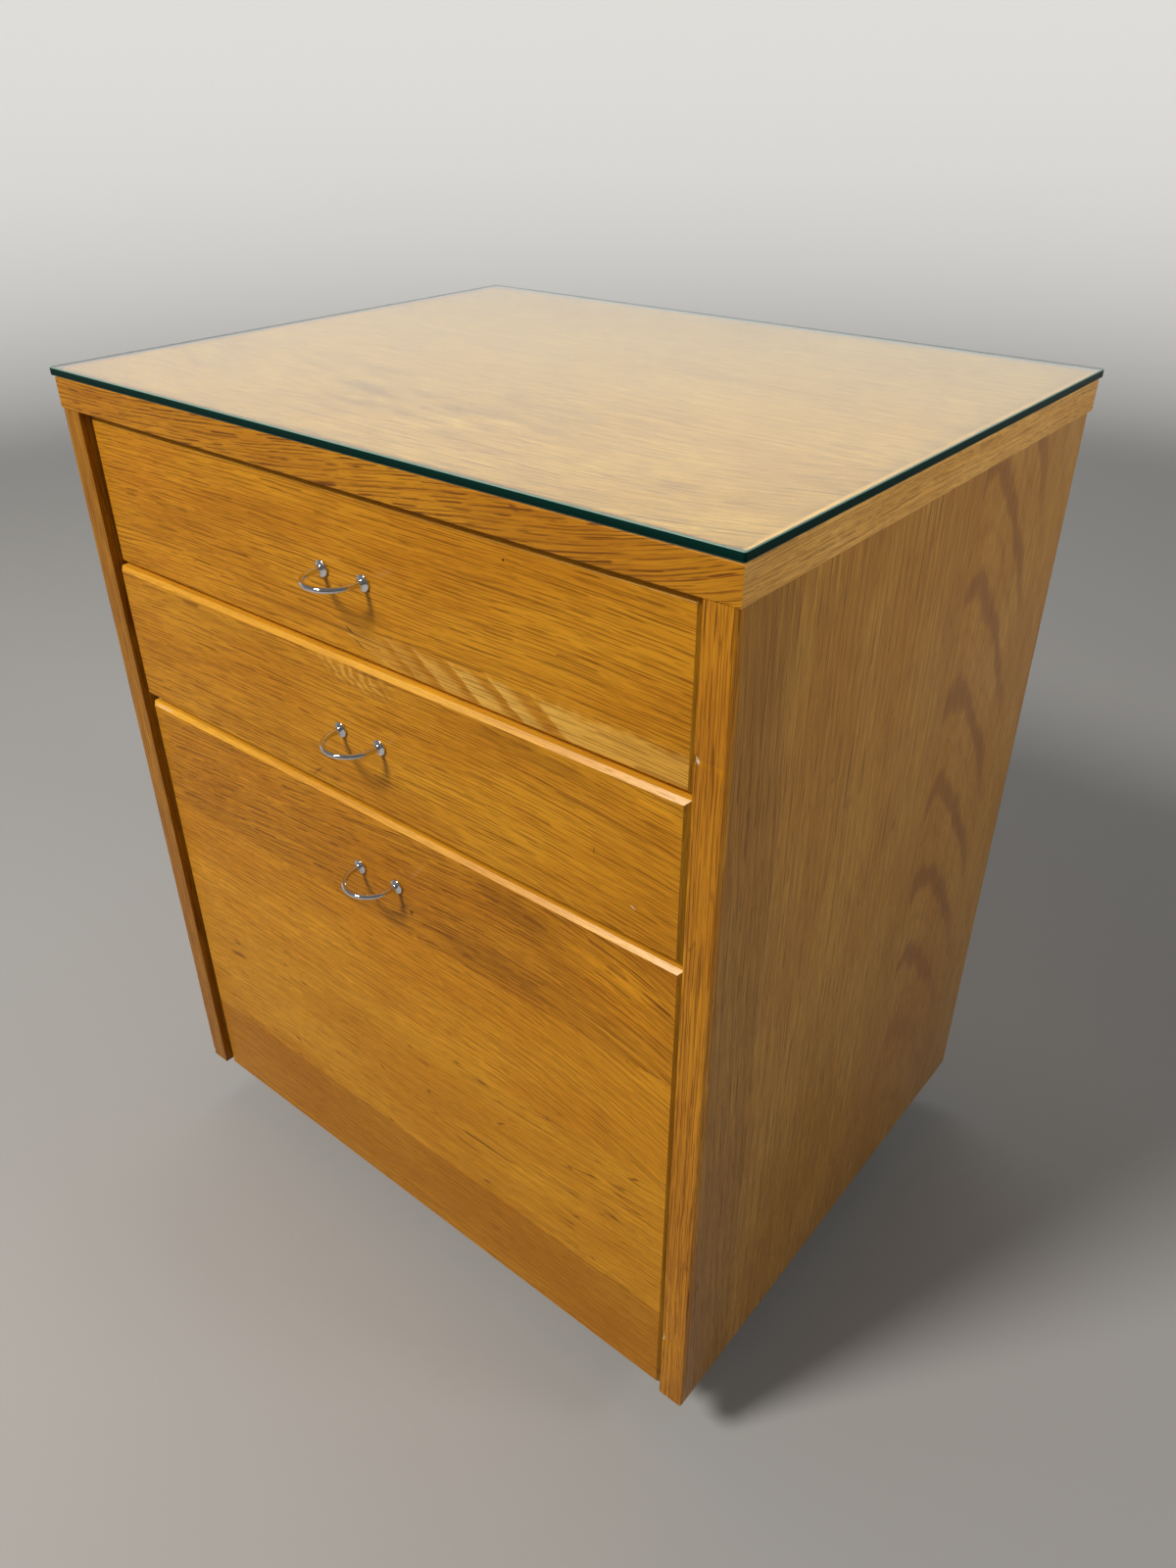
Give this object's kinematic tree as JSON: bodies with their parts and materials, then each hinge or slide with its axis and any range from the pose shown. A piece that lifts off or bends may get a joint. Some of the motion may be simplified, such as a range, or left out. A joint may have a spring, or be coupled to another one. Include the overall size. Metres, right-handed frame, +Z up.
{
  "type": "rolling filing cabinet",
  "caption": "Oak-veneered filing cabinet on hidden castors, with shallow drawers over a deep file drawer, wire handles and a loose glass sheet on top.",
  "frame": {"origin": "centre of the bounding box seen from above, on the floor under the castor wheels", "axes": "+X to the right seen from the front, +Y to the back (the drawers open towards -Y), +Z up"},
  "size_m": [0.59, 0.495, 0.727],
  "materials": {
    "oak_side_veneer": "satin lacquer over oak veneer, upright grain",
    "oak_lipping": "satin lacquer over solid oak",
    "oak_top_veneer": "satin lacquer over oak veneer, grain from left to right",
    "sheet_glass": "clear, ground edges, green seen through the edge",
    "oak_front_veneer": "satin lacquer over oak veneer, grain from left to right",
    "carcass_board": "matt, plain inside boards",
    "beech_dowel": "raw",
    "chrome_wire": "polished",
    "zinc_screw": "zinc plated",
    "runner_steel": "off-white powder coat",
    "nylon_roller": "smooth nylon",
    "bare_steel": "cold rolled",
    "castor_steel": "zinc plated, pressed",
    "castor_plastic": "hard black plastic",
    "drawer_plywood": "thin lacquer over birch plywood"
  },
  "bodies": {
    "carcass": {"left_side_panel": "oak_side_veneer", "right_side_panel": "oak_side_veneer", "left_panel_lipping": "oak_lipping", "right_panel_lipping": "oak_lipping", "top_board": "oak_top_veneer", "top_front_lipping": "oak_lipping", "top_left_lipping": "oak_lipping", "top_right_lipping": "oak_lipping", "glass_top": "sheet_glass", "back_panel": "carcass_board", "bottom_board": "carcass_board", "top_front_rail": "carcass_board", "top_rear_rail": "carcass_board", "carcass_dowels": "beech_dowel", "top_screws": "zinc_screw", "top_cabinet_runners": "runner_steel", "middle_cabinet_runners": "runner_steel", "file_cabinet_runners": "runner_steel", "cabinet_runner_screws": "zinc_screw", "castor_plates": "castor_steel", "castor_plate_screws": "zinc_screw"},
    "top_drawer": {"top_drawer_front": "oak_front_veneer", "top_drawer_left_side": "drawer_plywood", "top_drawer_right_side": "drawer_plywood", "top_drawer_back": "drawer_plywood", "top_drawer_bottom": "drawer_plywood", "top_handle": "chrome_wire", "top_handle_screws": "zinc_screw", "top_drawer_runners": "runner_steel"},
    "top_front_roller_pair": {"top_front_rollers": "nylon_roller"},
    "top_rear_roller_pair": {"top_rear_rollers": "nylon_roller"},
    "middle_drawer": {"middle_drawer_front": "oak_front_veneer", "middle_drawer_left_side": "drawer_plywood", "middle_drawer_right_side": "drawer_plywood", "middle_drawer_back": "drawer_plywood", "middle_drawer_bottom": "drawer_plywood", "middle_handle": "chrome_wire", "middle_handle_screws": "zinc_screw", "middle_drawer_runners": "runner_steel"},
    "middle_front_roller_pair": {"middle_front_rollers": "nylon_roller"},
    "middle_rear_roller_pair": {"middle_rear_rollers": "nylon_roller"},
    "file_drawer": {"file_drawer_front": "oak_front_veneer", "file_drawer_left_side": "drawer_plywood", "file_drawer_right_side": "drawer_plywood", "file_drawer_back": "drawer_plywood", "file_drawer_bottom": "drawer_plywood", "file_handle": "chrome_wire", "file_handle_screws": "zinc_screw", "file_drawer_runners": "runner_steel", "hanging_file_rails": "bare_steel"},
    "file_front_roller_pair": {"file_front_rollers": "nylon_roller"},
    "file_rear_roller_pair": {"file_rear_rollers": "nylon_roller"},
    "castor_front_left_fork": {"castor_fork_front_left": "castor_steel"},
    "castor_front_left_wheel": {"castor_wheel_front_left": "castor_plastic"},
    "castor_front_right_fork": {"castor_fork_front_right": "castor_steel"},
    "castor_front_right_wheel": {"castor_wheel_front_right": "castor_plastic"},
    "castor_rear_left_fork": {"castor_fork_rear_left": "castor_steel"},
    "castor_rear_left_wheel": {"castor_wheel_rear_left": "castor_plastic"},
    "castor_rear_right_fork": {"castor_fork_rear_right": "castor_steel"},
    "castor_rear_right_wheel": {"castor_wheel_rear_right": "castor_plastic"}
  },
  "joints": [
    {"name": "top_drawer_slide", "type": "slide", "parent": "carcass", "child": "top_drawer", "axis": [0, -1, 0], "range_m": [0, 0.3]},
    {"name": "top_front_rollers_turn", "type": "hinge", "parent": "carcass", "child": "top_front_roller_pair", "pos_m": [0.003, -0.183, 0.6035], "axis": [1, 0, 0], "range_deg": [0, 1880]},
    {"name": "top_rear_rollers_turn", "type": "hinge", "parent": "top_drawer", "child": "top_rear_roller_pair", "pos_m": [0.003, 0.193, 0.6007], "axis": [1, 0, 0], "range_deg": [0, 1880]},
    {"name": "middle_drawer_slide", "type": "slide", "parent": "carcass", "child": "middle_drawer", "axis": [0, -1, 0], "range_m": [0, 0.3]},
    {"name": "middle_front_rollers_turn", "type": "hinge", "parent": "carcass", "child": "middle_front_roller_pair", "pos_m": [0.003, -0.183, 0.4905], "axis": [1, 0, 0], "range_deg": [0, 1880]},
    {"name": "middle_rear_rollers_turn", "type": "hinge", "parent": "middle_drawer", "child": "middle_rear_roller_pair", "pos_m": [0.003, 0.193, 0.4877], "axis": [1, 0, 0], "range_deg": [0, 1880]},
    {"name": "file_drawer_slide", "type": "slide", "parent": "carcass", "child": "file_drawer", "axis": [0, -1, 0], "range_m": [0, 0.3]},
    {"name": "file_front_rollers_turn", "type": "hinge", "parent": "carcass", "child": "file_front_roller_pair", "pos_m": [0.003, -0.183, 0.0965], "axis": [1, 0, 0], "range_deg": [0, 1880]},
    {"name": "file_rear_rollers_turn", "type": "hinge", "parent": "file_drawer", "child": "file_rear_roller_pair", "pos_m": [0.003, 0.193, 0.0937], "axis": [1, 0, 0], "range_deg": [0, 1880]},
    {"name": "castor_front_left_swivel", "type": "hinge", "parent": "carcass", "child": "castor_front_left_fork", "pos_m": [-0.217, -0.1415, 0.054], "axis": [0, 0, 1], "continuous": true},
    {"name": "castor_front_left_roll", "type": "hinge", "parent": "castor_front_left_fork", "child": "castor_front_left_wheel", "pos_m": [-0.21449, -0.15932, 0.022], "axis": [-0.9903, -0.1392, 0], "continuous": true},
    {"name": "castor_front_right_swivel", "type": "hinge", "parent": "carcass", "child": "castor_front_right_fork", "pos_m": [0.223, -0.1415, 0.054], "axis": [0, 0, 1], "continuous": true},
    {"name": "castor_front_right_roll", "type": "hinge", "parent": "castor_front_right_fork", "child": "castor_front_right_wheel", "pos_m": [0.22081, -0.15937, 0.022], "axis": [-0.9925, 0.1219, 0], "continuous": true},
    {"name": "castor_rear_left_swivel", "type": "hinge", "parent": "carcass", "child": "castor_rear_left_fork", "pos_m": [-0.217, 0.1565, 0.054], "axis": [0, 0, 1], "continuous": true},
    {"name": "castor_rear_left_roll", "type": "hinge", "parent": "castor_rear_left_fork", "child": "castor_rear_left_wheel", "pos_m": [-0.21574, 0.13854, 0.022], "axis": [-0.9976, -0.0698, 0], "continuous": true},
    {"name": "castor_rear_right_swivel", "type": "hinge", "parent": "carcass", "child": "castor_rear_right_fork", "pos_m": [0.223, 0.1565, 0.054], "axis": [0, 0, 1], "continuous": true},
    {"name": "castor_rear_right_roll", "type": "hinge", "parent": "castor_rear_right_fork", "child": "castor_rear_right_wheel", "pos_m": [0.22206, 0.13852, 0.022], "axis": [-0.9986, 0.0523, 0], "continuous": true}
  ],
  "couplings": [
    {"joint": "top_front_rollers_turn", "follows": "top_drawer_slide", "rad_per_m": 108.7},
    {"joint": "top_rear_rollers_turn", "follows": "top_drawer_slide", "rad_per_m": 108.7},
    {"joint": "middle_front_rollers_turn", "follows": "middle_drawer_slide", "rad_per_m": 108.7},
    {"joint": "middle_rear_rollers_turn", "follows": "middle_drawer_slide", "rad_per_m": 108.7},
    {"joint": "file_front_rollers_turn", "follows": "file_drawer_slide", "rad_per_m": 108.7},
    {"joint": "file_rear_rollers_turn", "follows": "file_drawer_slide", "rad_per_m": 108.7}
  ]
}
